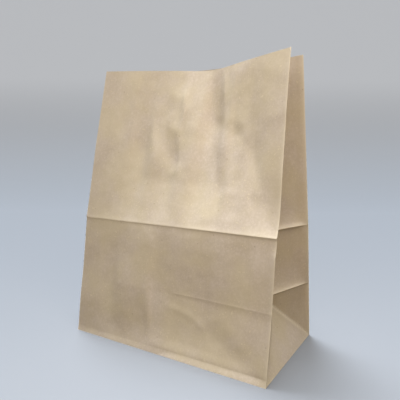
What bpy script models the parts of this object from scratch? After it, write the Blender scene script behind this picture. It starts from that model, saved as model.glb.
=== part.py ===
"""Brown paper lunch bag: one sheet of kraft paper folded into a block bottom bag.

The sheet makes a tube of a front panel, a back panel and two pleated sides, closed below by
pasted flaps. The bag stands opened, with its mouth drawn nearly shut and the middle of the
front pushed in. Metres, +Z up. X runs along the width, -Y is the front, and the origin is on
the ground under the middle of the bottom. Every fold is worked out from lengths measured on
the flat paper, because paper bends and does not stretch.
"""

import bmesh
import bpy
import numpy as np

# Flat paper
BAG_WIDTH = 0.206
BAG_DEPTH = 0.114
BAG_HEIGHT = 0.270
PAPER_THICKNESS = 0.00015

# Waist fold, which runs round the bag where the packed bag was folded over
WAIST_HEIGHT = 0.117
WAIST_SET = 0.0020
WAIST_SET_ABOVE = 0.012
WAIST_SET_BELOW = 0.003

# How far the walls lean in at the waist, and how far their middles bow
FRONT_LEAN = 0.0160
BACK_LEAN = 0.0162
FRONT_WAIST_BOW = 0.0026
BACK_WAIST_BOW = 0.0030

# Mouth: the back's corners stand this far behind the middle, and the front's this far before them
MOUTH_BACK = 0.0304
MOUTH_DEPTH_RIGHT = 0.0410
MOUTH_DEPTH_LEFT = 0.0410
MOUTH_FRONT_SHIFT = -0.0015
MOUTH_BACK_SHIFT = -0.0042
MOUTH_BACK_BOW = 0.019

# The bend down the front of the mouth: how far it is pushed in, its place right of the middle,
# and its rounding
BEND_DENT = 0.0248
BEND_OFFSET = 0.0142
BEND_ROUNDING = 0.032

# Folded strip along the foot of the front
FOOT_STRIP = 0.006
FOOT_STRIP_SET = 0.0006

# Pinked edge of the mouth
TOOTH_PITCH = 0.002
TOOTH_DEPTH = 0.0008
TOOTH_BAND = 0.003

# Pasted lap up the back, and the pasted flaps underneath
LAP_WIDTH = 0.012
LAP_OFFSET = 0.030
LAP_EDGE = 0.0003
FLAP_LENGTH = 0.065

# Size of the facets, the rows under and over the waist as multiples of how far its set reaches,
# the steps along which the front's top edge is drawn, and the longest mitre at a fold
FACET_WIDTH = 0.014
FACET_HEIGHT = 0.015
PLEAT_STEPS = 5
ROWS_UNDER_WAIST = [2.5, 0.6]
ROWS_OVER_WAIST = [0.2, 0.6, 1.2, 2.4]
EDGE_STEPS = 420
MITRE_LIMIT = 2.0

HALF_DEPTH = BAG_DEPTH / 2
FRONT_Y = -HALF_DEPTH
LEFT_X = -BAG_WIDTH / 2


def bowed_chord(length, bow):
    """Straight distance between the ends of a sheet of this length that bows in a shallow arc."""
    return length - 8 * bow**2 / (3 * length)


def rise(length, run_x, run_y):
    """Height gained by paper of this length that also runs sideways."""
    return np.sqrt(np.maximum(length**2 - run_x**2 - run_y**2, 0))


def meeting_point(centres, reaches, towards):
    """Point at three given distances from three centres, on the side that 'towards' points to."""
    first, second, third = centres
    span = np.linalg.norm(second - first)
    along = (second - first) / span
    step = np.dot(along, third - first)
    across = third - first - step * along
    height = np.linalg.norm(across)
    across = across / height
    normal = np.cross(along, across)
    if np.dot(normal, towards) < 0:
        normal = -normal
    a = (reaches[0]**2 - reaches[1]**2 + span**2) / (2 * span)
    b = (reaches[0]**2 - reaches[2]**2 + step**2 + height**2) / (2 * height) - a * step / height
    c = np.sqrt(max(reaches[0]**2 - a**2 - b**2, 0))
    return first + a * along + b * across + c * normal


def parabola(share, bow):
    """Offset of a shallow bow along a line, zero at both ends."""
    return 4 * bow * share * (1 - share)


def waist_fold_set(height):
    """How far the sharp waist fold pushes the paper towards the front, at a paper height."""
    above = np.exp(-np.maximum(height - WAIST_HEIGHT, 0) / WAIST_SET_ABOVE)
    below = np.exp(-np.maximum(WAIST_HEIGHT - height, 0) / WAIST_SET_BELOW)
    return WAIST_SET * above * below


def foot_line(paper, y):
    """Straight bottom edge of a panel, at distances along its width."""
    return np.stack([LEFT_X + paper, np.full_like(paper, y), np.zeros_like(paper)], axis=-1)


def lifted(below, x, y, length):
    """Points at x and y that paper of this length reaches from the points below."""
    z = below[..., 2] + rise(length, x - below[..., 0], y - below[..., 1])
    return np.stack([x, y, z], axis=-1)


def waist_line(paper, foot_y, lean, bow):
    """Waist edge of the front or back panel, leaning in from its foot."""
    inward = -np.sign(foot_y)
    share = paper / BAG_WIDTH
    x = (share - 0.5) * bowed_chord(BAG_WIDTH, bow)
    y = foot_y + inward * lean + parabola(share, bow)
    return lifted(foot_line(paper, foot_y), x, y, WAIST_HEIGHT)


def front_waist(paper):
    """Waist edge of the front panel, its middle bowed in."""
    return waist_line(paper, FRONT_Y, FRONT_LEAN, FRONT_WAIST_BOW)


def back_waist(paper):
    """Waist edge of the back panel, its middle bowed out."""
    return waist_line(paper, HALF_DEPTH, BACK_LEAN, BACK_WAIST_BOW)


def back_mouth(paper):
    """Top edge of the back panel, its middle bowed out."""
    share = paper / BAG_WIDTH
    x = MOUTH_BACK_SHIFT + (share - 0.5) * bowed_chord(BAG_WIDTH, MOUTH_BACK_BOW)
    y = MOUTH_BACK + parabola(share, MOUTH_BACK_BOW)
    return lifted(back_waist(paper), x, y, BAG_HEIGHT - WAIST_HEIGHT)


def front_mouth(paper):
    """Top edge of the front panel: two nearly straight halves that meet in a rounded bend.

    The edge is drawn by its direction. It heads back from the left corner, turns evenly over
    the rounding, and heads forward to the right corner, so its length is the paper's own.
    """
    bend_paper = BAG_WIDTH / 2 + BEND_OFFSET
    left_y = MOUTH_BACK - MOUTH_DEPTH_LEFT
    right_y = MOUTH_BACK - MOUTH_DEPTH_RIGHT
    bend_y = left_y + (right_y - left_y) * bend_paper / BAG_WIDTH + BEND_DENT
    left_turn = np.arcsin((bend_y - left_y) / bend_paper)
    right_turn = -np.arcsin((bend_y - right_y) / (BAG_WIDTH - bend_paper))
    fine = np.linspace(0, BAG_WIDTH, EDGE_STEPS + 1)
    share = np.clip((fine - bend_paper) / BEND_ROUNDING + 0.5, 0, 1)
    turn = left_turn + (right_turn - left_turn) * share
    step = fine[1] - fine[0]
    middle = (turn[1:] + turn[:-1]) / 2
    x = np.concatenate([[0], np.cumsum(np.cos(middle))]) * step
    y = np.concatenate([[0], np.cumsum(np.sin(middle))]) * step + left_y
    x = x - (x[0] + x[-1]) / 2 + MOUTH_FRONT_SHIFT
    edge_x = np.interp(paper, fine, x)
    edge_y = np.interp(paper, fine, y)
    return lifted(front_waist(paper), edge_x, edge_y, BAG_HEIGHT - WAIST_HEIGHT)


def panel(paper, height, foot_y, waist, mouth):
    """Points of the front or back: straight paper from foot to waist and from waist to mouth."""
    paper, height = np.broadcast_arrays(paper, height)
    low = (np.minimum(height, WAIST_HEIGHT) / WAIST_HEIGHT)[..., None]
    high = (np.maximum(height - WAIST_HEIGHT, 0) / (BAG_HEIGHT - WAIST_HEIGHT))[..., None]
    foot_points = foot_line(paper, foot_y)
    waist_points = waist(paper)
    mouth_points = mouth(paper)
    lower = foot_points + low * (waist_points - foot_points)
    return lower + high * (mouth_points - waist_points)


def foot_strip_set(paper, height):
    """How far the front falls back over its foot strip, more to the right and fading upwards."""
    over = np.clip(height / FOOT_STRIP, 0, 1)
    fade = np.clip((HALF_DEPTH - height) / (HALF_DEPTH - FOOT_STRIP), 0, 1)
    return FOOT_STRIP_SET * over * fade * paper / BAG_WIDTH


def front_panel(paper, height):
    """Points of the front, by distance from its left edge and paper height."""
    points = panel(paper, height, FRONT_Y, front_waist, front_mouth)
    points[..., 1] += foot_strip_set(paper, height)
    return points


def back_panel(paper, height):
    """Points of the back, by distance from its left edge and paper height."""
    return panel(paper, height, HALF_DEPTH, back_waist, back_mouth)


def pleat_spine(side, front_edge, back_edge):
    """Three points of a side's pleat: over the bottom triangle, at the waist and at the mouth.

    Each is where the paper reaches from the folds around it: the pleat's middle is half the
    bag's depth from both upright edges, and its length is the paper's height.
    """
    inward = np.array([-side, 0.0, 0.0])
    diagonal = HALF_DEPTH * np.sqrt(2)
    rest = WAIST_HEIGHT - HALF_DEPTH
    corners = [front_edge(0.0), back_edge(0.0), back_edge(HALF_DEPTH)]
    apex = meeting_point(corners, [diagonal, diagonal, HALF_DEPTH], inward)
    waist_edges = [front_edge(WAIST_HEIGHT), back_edge(WAIST_HEIGHT), apex]
    waist = meeting_point(waist_edges, [HALF_DEPTH, HALF_DEPTH, rest], inward)
    mouth_edges = [front_edge(BAG_HEIGHT), back_edge(BAG_HEIGHT), waist]
    reaches = [HALF_DEPTH, HALF_DEPTH, BAG_HEIGHT - WAIST_HEIGHT]
    mouth = meeting_point(mouth_edges, reaches, inward)
    return apex, waist, mouth


def spine_point(points, height):
    """Point on the pleat's middle fold, at paper heights over the bottom triangle."""
    apex, waist, mouth = points
    height = np.asarray(height, dtype=float)[..., None]
    low = np.clip((height - HALF_DEPTH) / (WAIST_HEIGHT - HALF_DEPTH), 0, 1)
    high = np.clip((height - WAIST_HEIGHT) / (BAG_HEIGHT - WAIST_HEIGHT), 0, 1)
    return apex + low * (waist - apex) + high * (mouth - waist)


def pleat_row(side, across, height):
    """Points of one side, by distance from its front edge, at one paper height.

    Above the bottom triangle a row is two straight halves, from the front edge to the pleat's
    middle fold and on to the back edge. Below its apex a row crosses the two folds that climb
    at 45 degrees from the bottom corners, and runs straight between them.
    """
    edge_paper = np.array(BAG_WIDTH if side > 0 else 0.0)

    def front_edge(level):
        return front_panel(edge_paper, np.array(level))

    def back_edge(level):
        return back_panel(edge_paper, np.array(level))

    spine = pleat_spine(side, front_edge, back_edge)
    if height >= HALF_DEPTH:
        folds = np.array([0, HALF_DEPTH, BAG_DEPTH])
        points = [front_edge(height), spine_point(spine, height), back_edge(height)]
    else:
        climb = height / HALF_DEPTH
        front_fold = front_edge(0.0) + climb * (spine[0] - front_edge(0.0))
        back_fold = back_edge(0.0) + climb * (spine[0] - back_edge(0.0))
        folds = np.array([0, height, BAG_DEPTH - height, BAG_DEPTH])
        points = [front_edge(height), front_fold, back_fold, back_edge(height)]
    points = np.array(points)
    return np.stack([np.interp(across, folds, points[:, axis]) for axis in range(3)], axis=-1)


def steps_between(start, end, size):
    """Even stations from start to end, about the given size apart."""
    count = max(int(round((end - start) / size)), 1)
    return np.linspace(start, end, count + 1)


def merged_stations(*groups):
    """Stations of several groups in order, without those that nearly repeat another."""
    stations = np.unique(np.round(np.concatenate(groups), 6))
    keep = np.concatenate([[True], np.diff(stations) > LAP_EDGE / 2])
    return stations[keep]


def front_stations():
    """Distances across the front where its columns stand, closer at the bend."""
    bend = BAG_WIDTH / 2 + BEND_OFFSET
    left = steps_between(0, bend - BEND_ROUNDING / 2, FACET_WIDTH)
    curve = steps_between(bend - BEND_ROUNDING / 2, bend + BEND_ROUNDING / 2, FACET_WIDTH / 3)
    right = steps_between(bend + BEND_ROUNDING / 2, BAG_WIDTH, FACET_WIDTH)
    return merged_stations(left, curve, right)


def back_stations():
    """Distances across the back where its columns stand, with both edges of the pasted lap."""
    lap_end = BAG_WIDTH / 2 + LAP_OFFSET
    lap_start = lap_end - LAP_WIDTH
    left = steps_between(0, lap_start - LAP_WIDTH / 2, FACET_WIDTH)
    lap = np.array([lap_start, lap_end, lap_end + LAP_EDGE])
    right = steps_between(lap_end + LAP_EDGE, BAG_WIDTH, FACET_WIDTH)
    return merged_stations(left, lap, right)


def pleat_stations():
    """Distances across a side where its columns stand, the same from both of its edges."""
    half = merged_stations(np.linspace(0, HALF_DEPTH, PLEAT_STEPS + 1), np.array([FOOT_STRIP]))
    return np.concatenate([half, BAG_DEPTH - half[-2::-1]])


def wall_heights():
    """Paper heights of the rows: the sides' columns again up to the pleat's apex, so that the
    folds at 45 degrees run through corners of the grid, and closer rows at the waist."""
    foot = merged_stations(np.linspace(0, HALF_DEPTH, PLEAT_STEPS + 1), np.array([FOOT_STRIP]))
    under = WAIST_HEIGHT - np.array(ROWS_UNDER_WAIST) * WAIST_SET_BELOW
    over = WAIST_HEIGHT + np.array(ROWS_OVER_WAIST) * WAIST_SET_ABOVE
    lower = steps_between(HALF_DEPTH, under[0], FACET_HEIGHT)
    upper = steps_between(over[-1], BAG_HEIGHT - TOOTH_BAND, FACET_HEIGHT)
    return merged_stations(foot, lower, under, [WAIST_HEIGHT], over, upper)


def ring(height):
    """Points once round the bag at one paper height, from the front's left edge."""
    front = front_stations()
    pleat = pleat_stations()
    back = back_stations()
    parts = [
        front_panel(front, np.array(height))[:-1],
        pleat_row(1, pleat, height)[:-1],
        back_panel(back[::-1], np.array(height))[:-1],
        pleat_row(-1, pleat[::-1], height)[:-1],
    ]
    points = np.concatenate(parts)
    points[:, 1] -= waist_fold_set(height)
    return points


def column_widths():
    """Paper width of each column round the bag, in the order of a ring."""
    pleat = np.diff(pleat_stations())
    return np.concatenate([np.diff(front_stations()), pleat, np.diff(back_stations())[::-1], pleat])


def lap_thickness(columns):
    """Extra thickness of the pasted lap, one value for each column of a ring."""
    extra = np.zeros(columns)
    back = back_stations()[::-1]
    lap_end = BAG_WIDTH / 2 + LAP_OFFSET
    first = len(front_stations()) - 1 + len(pleat_stations()) - 1
    in_lap = (back[:-1] <= lap_end + LAP_EDGE / 2) & (back[:-1] >= lap_end - LAP_WIDTH - LAP_EDGE / 2)
    extra[first:first + len(in_lap)] = np.where(in_lap, PAPER_THICKNESS, 0)
    return extra


def outward(rings):
    """Outward directions at the corners of the grid, longer at folds so that a wall offset
    along them keeps its thickness."""
    right = np.roll(rings, -1, axis=1)
    face = np.cross(right[:-1] - rings[:-1], rings[1:] - rings[:-1])
    face /= np.linalg.norm(face, axis=-1, keepdims=True)
    rows = np.concatenate([face[:1], face, face[-1:]])
    around = np.stack([rows[1:], rows[:-1], np.roll(rows, 1, axis=1)[1:], np.roll(rows, 1, axis=1)[:-1]])
    direction = around.sum(axis=0)
    direction /= np.linalg.norm(direction, axis=-1, keepdims=True)
    spread = np.clip((around * direction).sum(axis=-1).min(axis=0), 1 / MITRE_LIMIT, 1)
    return direction / spread[..., None]


def pinked(tips, roots, widths):
    """Pinked edge: teeth between the grid's columns, with the column that each point starts from.

    Every column holds whole teeth of about the set pitch. A point halfway along a tooth is on
    the ring of tips and the others are on the ring of roots.
    """
    points = []
    column_starts = []
    for column, width in enumerate(widths):
        following = (column + 1) % len(widths)
        teeth = int(round(width / TOOTH_PITCH))
        steps = max(2 * teeth, 1)
        column_starts.append(len(points))
        for step in range(steps):
            source = tips if step % 2 else roots
            share = step / steps
            points.append(source[column] * (1 - share) + source[following] * share)
    return np.array(points), column_starts


def grid_faces(rows, columns, corners):
    """Triangles between the rings, split along the sides' 45 degree folds."""
    front_right, back_right, back_left = corners
    faces = []
    for row in range(rows - 1):
        for column in range(columns):
            following = (column + 1) % columns
            a = row * columns + column
            b = row * columns + following
            c = b + columns
            d = a + columns
            on_right = front_right <= column < (front_right + back_right) / 2
            on_left = back_left <= column < (back_left + columns) / 2
            if on_right or on_left:
                faces += [(a, b, c), (a, c, d)]
            else:
                faces += [(a, b, d), (b, c, d)]
    return faces


def tooth_faces(row_start, rim_start, column_starts, rim_count):
    """Triangles from the top ring of the grid up to the pinked edge."""
    faces = []
    columns = len(column_starts)
    for column in range(columns):
        a = row_start + column
        b = row_start + (column + 1) % columns
        first = column_starts[column]
        last = column_starts[column + 1] if column + 1 < columns else rim_count
        middle = first + (last - first) // 2
        faces.append((a, b, rim_start + middle % rim_count))
        for point in range(first, last):
            foot = a if point < middle else b
            faces.append((foot, rim_start + (point + 1) % rim_count, rim_start + point))
    return faces


def underside(corners, columns, start):
    """Points and triangles of the pasted flaps under the bag.

    The sides' ends lie innermost, the back's flap over them and the front's flap outermost.
    Both flaps narrow at 45 degrees from the bottom corners, and the front's reaches past the
    middle. Each layer is one paper lower than the one it covers.
    """
    front_right, back_right, back_left = corners
    flap_y = FRONT_Y + FLAP_LENGTH
    flap_x = BAG_WIDTH / 2 - FLAP_LENGTH
    cross_x = BAG_WIDTH / 2 - HALF_DEPTH
    low, middle, high = 0.0, PAPER_THICKNESS, 2 * PAPER_THICKNESS
    points = [
        (cross_x, 0, low), (cross_x, 0, middle), (cross_x, 0, high),
        (-cross_x, 0, low), (-cross_x, 0, middle), (-cross_x, 0, high),
        (flap_x, flap_y, low), (flap_x, flap_y, middle),
        (-flap_x, flap_y, low), (-flap_x, flap_y, middle),
    ]
    right_low, right_middle, right_high, left_low, left_middle, left_high = range(start, start + 6)
    end_right_low, end_right_middle, end_left_low, end_left_middle = range(start + 6, start + 10)
    front = list(range(0, front_right + 1))
    right = list(range(front_right, back_right + 1))
    back = list(range(back_right, back_left + 1))
    left = list(range(back_left, columns)) + [0]

    def fan(centre, chain):
        return [(centre, chain[i + 1], chain[i]) for i in range(len(chain) - 1)]

    faces = fan(left_low, front + [right_low, end_right_low, end_left_low])
    faces += fan(right_high, right)
    faces += fan(left_high, left)
    faces += fan(end_right_middle, [right_middle] + back + [end_left_middle])
    faces.append((end_left_middle, left_middle, back[-1]))
    faces += fan(right_middle, [right_high, right[0], right_low])
    faces += fan(left_middle, [left_low, left[-1], left_high])
    faces.append((right_middle, right[-1], right_high))
    faces.append((left_middle, left_high, left[0]))
    faces += fan(right_low, [right_middle, end_right_middle, end_right_low])
    faces += fan(end_right_low, [end_right_middle, end_left_middle, end_left_low])
    faces += fan(end_left_low, [end_left_middle, left_middle, left_low])
    return points, faces


def build_bag():
    """The whole folded sheet as one closed solid."""
    heights = wall_heights()
    tips = ring(BAG_HEIGHT)
    roots = ring(BAG_HEIGHT - TOOTH_DEPTH)
    rings = np.array([ring(height) for height in heights] + [roots])
    columns = rings.shape[1]
    directions = outward(rings)
    lap = lap_thickness(columns)[:, None]
    outer = rings[:-1] + directions[:-1] * lap
    inner = rings[:-1] - directions[:-1] * PAPER_THICKNESS

    front_right = len(front_stations()) - 1
    back_right = front_right + len(pleat_stations()) - 1
    back_left = back_right + len(back_stations()) - 1
    corners = (front_right, back_right, back_left)
    outer[0, :, 2] = 0.0
    outer[0, front_right + 1:back_right, 2] = 2 * PAPER_THICKNESS
    outer[0, back_left + 1:, 2] = 2 * PAPER_THICKNESS
    outer[0, back_right:back_left + 1, 2] = PAPER_THICKNESS
    inner[0, :, 2] = 3 * PAPER_THICKNESS

    widths = column_widths()
    top = directions[-1]
    outer_rim, column_starts = pinked(tips + top * lap, roots + top * lap, widths)
    inner_rim, _ = pinked(tips - top * PAPER_THICKNESS, roots - top * PAPER_THICKNESS, widths)

    grid_count = outer.shape[0] * columns
    rim_count = len(outer_rim)
    skin_count = grid_count + rim_count
    skin = grid_faces(outer.shape[0], columns, corners)
    skin += tooth_faces(grid_count - columns, grid_count, column_starts, rim_count)
    flap_points, flap_faces = underside(corners, columns, 2 * skin_count)
    floor_middle = 2 * skin_count + len(flap_points)

    points = [outer.reshape(-1, 3), outer_rim, inner.reshape(-1, 3), inner_rim, flap_points]
    points.append([(0.0, 0.0, 3 * PAPER_THICKNESS)])
    faces = skin + flap_faces
    faces += [tuple(skin_count + corner for corner in reversed(face)) for face in skin]
    for column in range(columns):
        following = (column + 1) % columns
        faces.append((floor_middle, skin_count + column, skin_count + following))
    for point in range(rim_count):
        following = (point + 1) % rim_count
        near = grid_count + point
        next_near = grid_count + following
        faces += [(near, next_near, skin_count + next_near), (near, skin_count + next_near, skin_count + near)]
    return np.concatenate([np.asarray(group, dtype=float) for group in points]), faces


def kraft_paper():
    """Unbleached kraft paper: matt, warm light brown."""
    material = bpy.data.materials.new("kraft_paper")
    material.use_nodes = True
    shader = material.node_tree.nodes["Principled BSDF"]
    shader.inputs["Base Color"].default_value = (0.50, 0.36, 0.23, 1.0)
    shader.inputs["Roughness"].default_value = 0.85
    shader.inputs["Metallic"].default_value = 0.0
    return material


def main():
    for old in list(bpy.data.objects):
        bpy.data.objects.remove(old, do_unlink=True)
    points, faces = build_bag()
    mesh = bpy.data.meshes.new("paper_bag")
    mesh.from_pydata(points.tolist(), [], faces)
    form = bmesh.new()
    form.from_mesh(mesh)
    bmesh.ops.recalc_face_normals(form, faces=form.faces)
    form.to_mesh(mesh)
    form.free()
    mesh.materials.append(kraft_paper())
    bag = bpy.data.objects.new("paper_bag", mesh)
    bpy.context.scene.collection.objects.link(bag)


main()
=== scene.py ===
"""Looks of the brown paper lunch bag: one sheet of kraft paper, folded, creased and pinked.

The bag is drawn by paper coordinates. 'Across' is the distance along a panel's width and
'height' the distance up the paper from its foot, both in metres on the flat sheet. The folds
stand where the sheet's own lengths put them, and each panel then gets the low relief of its
creases, dents and leaning facets.
"""

import logging
from dataclasses import dataclass
from enum import Enum
from functools import partial

import bpy
import numpy as np
from mathutils import Matrix, Vector


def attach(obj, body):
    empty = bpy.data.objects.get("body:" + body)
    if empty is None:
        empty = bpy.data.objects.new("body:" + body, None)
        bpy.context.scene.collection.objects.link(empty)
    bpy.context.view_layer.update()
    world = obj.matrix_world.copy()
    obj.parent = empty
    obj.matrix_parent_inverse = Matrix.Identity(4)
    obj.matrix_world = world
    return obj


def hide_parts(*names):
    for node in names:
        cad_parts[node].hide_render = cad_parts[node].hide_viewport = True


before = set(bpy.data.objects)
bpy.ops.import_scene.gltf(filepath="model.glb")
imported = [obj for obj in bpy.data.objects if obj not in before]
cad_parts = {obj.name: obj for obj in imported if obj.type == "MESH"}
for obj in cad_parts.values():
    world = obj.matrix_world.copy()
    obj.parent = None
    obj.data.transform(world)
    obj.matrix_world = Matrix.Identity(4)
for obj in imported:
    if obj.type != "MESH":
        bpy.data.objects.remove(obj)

LOG = logging.getLogger("paper_bag")
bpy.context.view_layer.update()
MM = 0.001


def linear_colour(code: str) -> tuple[float, float, float, float]:
    """Turns an sRGB hex code into linear colour with full alpha.

    Args:
        code: six hex digits with a leading hash.

    Returns:
        Red, green, blue and alpha, linear, from 0 to 1.
    """
    levels = [int(code[place:place + 2], 16) / 255 for place in (1, 3, 5)]
    straight = [v / 12.92 if v <= 0.04045 else ((v + 0.055) / 1.055) ** 2.4 for v in levels]
    return (*straight, 1.0)


def smooth(share: np.ndarray) -> np.ndarray:
    """Goes from 0 to 1 with level ends as share goes from 0 to 1."""
    share = np.clip(share, 0, 1)
    return share * share * (3 - 2 * share)


def eased(distance: np.ndarray, depth: float, length: float) -> np.ndarray:
    """Grows from 0 towards the depth, by about two thirds of what is left in each length."""
    return depth * (1 - np.exp(-distance / length))


def ramped(distance: np.ndarray, depth: float, length: float) -> np.ndarray:
    """Grows evenly from 0 to the depth over the length."""
    return depth * np.clip(distance / length, 0, 1)


def unit(vectors: np.ndarray) -> np.ndarray:
    """The same directions at length one."""
    return vectors / np.maximum(np.linalg.norm(vectors, axis=-1, keepdims=True), 1e-12)


class Side(Enum):
    """The two pleated sides, by the direction in which they face along X."""

    RIGHT = 1
    LEFT = -1


class Crest(Enum):
    """Cross section of a crease."""

    SHARP = 1
    SOFT = 2


@dataclass(frozen=True)
class Crease:
    """A line pressed into a panel.

    The path's corners are in millimetres, from the panel's left edge and from its foot. The
    rise is how far the line stands proud, in millimetres, and negative for a valley. The
    spread is the distance over which it fades to about a third.
    """

    path: tuple[tuple[float, float], ...]
    rise: float
    spread: float
    crest: Crest = Crest.SOFT

    def relief(self, across: np.ndarray, height: np.ndarray) -> np.ndarray:
        """Height of the crease, which falls off with the distance from its path.

        Args:
            across: distances from the left edge, in millimetres.
            height: paper heights, in millimetres.

        Returns:
            Relief in millimetres.
        """
        nearest = np.full(across.shape, np.inf)
        for (start_x, start_y), (end_x, end_y) in zip(self.path[:-1], self.path[1:]):
            run_x, run_y = end_x - start_x, end_y - start_y
            share = ((across - start_x) * run_x + (height - start_y) * run_y) / (run_x**2 + run_y**2)
            share = np.clip(share, 0, 1)
            gap = np.hypot(across - start_x - share * run_x, height - start_y - share * run_y)
            nearest = np.minimum(nearest, gap)
        reach = nearest / self.spread
        if self.crest is Crest.SHARP:
            return self.rise * np.exp(-reach)
        return self.rise * np.exp(-reach**2)


@dataclass(frozen=True)
class Facet:
    """A patch of a panel that leans back more than the paper round it, or less.

    The corners are in millimetres and go round anticlockwise as seen from outside. The lean
    is in radians, positive where the patch faces further up. The soft edge is in millimetres.
    """

    corners: tuple[tuple[float, float], ...]
    lean: float
    soft: float

    def leaning(self, across: np.ndarray, height: np.ndarray) -> np.ndarray:
        """Extra lean of the facet at points of the panel.

        The lean is full where a point is inside every edge by the soft distance, and fades
        out over the same distance beyond.

        Args:
            across: distances from the left edge, in millimetres.
            height: paper heights, in millimetres.

        Returns:
            Lean in radians.
        """
        weight = np.ones(across.shape)
        for (start_x, start_y), (end_x, end_y) in zip(self.corners, self.corners[1:] + self.corners[:1]):
            run_x, run_y = end_x - start_x, end_y - start_y
            inside = (run_x * (height - start_y) - run_y * (across - start_x)) / np.hypot(run_x, run_y)
            weight = weight * smooth(0.5 + inside / (2 * self.soft))
        return self.lean * weight


@dataclass(frozen=True)
class Roll:
    """A pressed fold that stands proud as a small roll, seen as a bright and a dark line.

    Going down the panel, the paper comes forward bit by bit over 'fade', with a little straight
    bevel over the crest, turns over the crest and runs back under it. All lengths are in
    millimetres. Pairs hold for the left and for the right end, and the right end's share grows
    from 'turn' on.
    """

    BEVEL_SHARE = 0.12

    level: tuple[float, float]
    rise: tuple[float, float]
    under: tuple[float, float]
    bevel: float
    fade: float
    turn: float = 0.0

    def relief(self, across: np.ndarray, height: np.ndarray, width: float) -> np.ndarray:
        """Height of the roll.

        Args:
            across: distances from the left edge, in millimetres.
            height: paper heights, in millimetres.
            width: width of the panel, in millimetres.

        Returns:
            Relief in millimetres.
        """
        share = smooth((across - self.turn) / (width - self.turn))
        pairs = (self.level, self.rise, self.under)
        level, rise, under = (left + (right - left) * share for left, right in pairs)
        over = height - level
        straight = self.BEVEL_SHARE * np.clip(1 - over / self.bevel, 0, 1)
        faded = (1 - self.BEVEL_SHARE) * np.exp(-np.maximum(over, 0) / self.fade)
        return rise * np.where(over > 0, straight + faded, np.clip(1 + over / under, 0, 1))


@dataclass(frozen=True)
class Swell:
    """Waves of a panel: their height and length in millimetres, and the seed of their pattern."""

    TURN_SPREAD = 0.7
    LENGTH_RANGE = (0.6, 1.7)

    height: float
    length: float
    seed: int
    waves: int = 7

    def relief(self, across: np.ndarray, height: np.ndarray) -> np.ndarray:
        """Sum of sine waves, which run more across the panel than up it.

        Args:
            across: distances from the left edge, in millimetres.
            height: paper heights, in millimetres.

        Returns:
            Relief in millimetres.
        """
        draw = np.random.default_rng(self.seed)
        total = np.zeros(across.shape)
        for _ in range(self.waves):
            turn = draw.normal(0, self.TURN_SPREAD)
            pitch = 2 * np.pi / (self.length * draw.uniform(*self.LENGTH_RANGE))
            phase = draw.uniform(0, 2 * np.pi)
            total += np.sin(pitch * (across * np.cos(turn) + height * np.sin(turn)) + phase)
        return self.height * total / np.sqrt(self.waves)


@dataclass(frozen=True)
class Bag:
    """Sizes of the flat sheet in metres, and how the opened bag stands.

    The waist fold stands forward by waist_set, which fades over waist_set_above and
    waist_set_below. A lean is how far a waist edge stands in from its foot, a bow how far an
    edge's middle stands behind its ends, and a shift how far an edge stands to the right.
    mouth_back is the place of the mouth's back corners along Y, and the front corners stand
    mouth_depth before them. The bend in the mouth is pushed in by bend_dent, stands right of
    the middle by bend_offset and turns over bend_rounding.
    """

    width: float = 0.206
    depth: float = 0.114
    height: float = 0.270
    thickness: float = 0.00015
    waist: float = 0.1158
    waist_set: float = 0.0004
    waist_set_above: float = 0.020
    waist_set_below: float = 0.0010
    front_lean: float = 0.0160
    back_lean: float = 0.0162
    front_bow: float = 0.0026
    back_bow: float = 0.0030
    mouth_back: float = 0.0304
    mouth_depth: float = 0.0410
    mouth_front_shift: float = -0.0010
    mouth_back_shift: float = -0.0045
    mouth_back_bow: float = 0.019
    bend_dent: float = 0.0248
    bend_offset: float = 0.0142
    bend_rounding: float = 0.032
    foot_strip: float = 0.006
    tooth_pitch: float = 0.002
    tooth_depth: float = 0.0008
    lap_width: float = 0.012
    lap_offset: float = 0.030
    lap_edge: float = 0.0003
    flap_length: float = 0.065

    @property
    def half_depth(self) -> float:
        """Half the depth, which is also the height of the block bottom's folds."""
        return self.depth / 2

    @property
    def girth(self) -> float:
        """Length of paper once round the bag."""
        return 2 * (self.width + self.depth)


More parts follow.
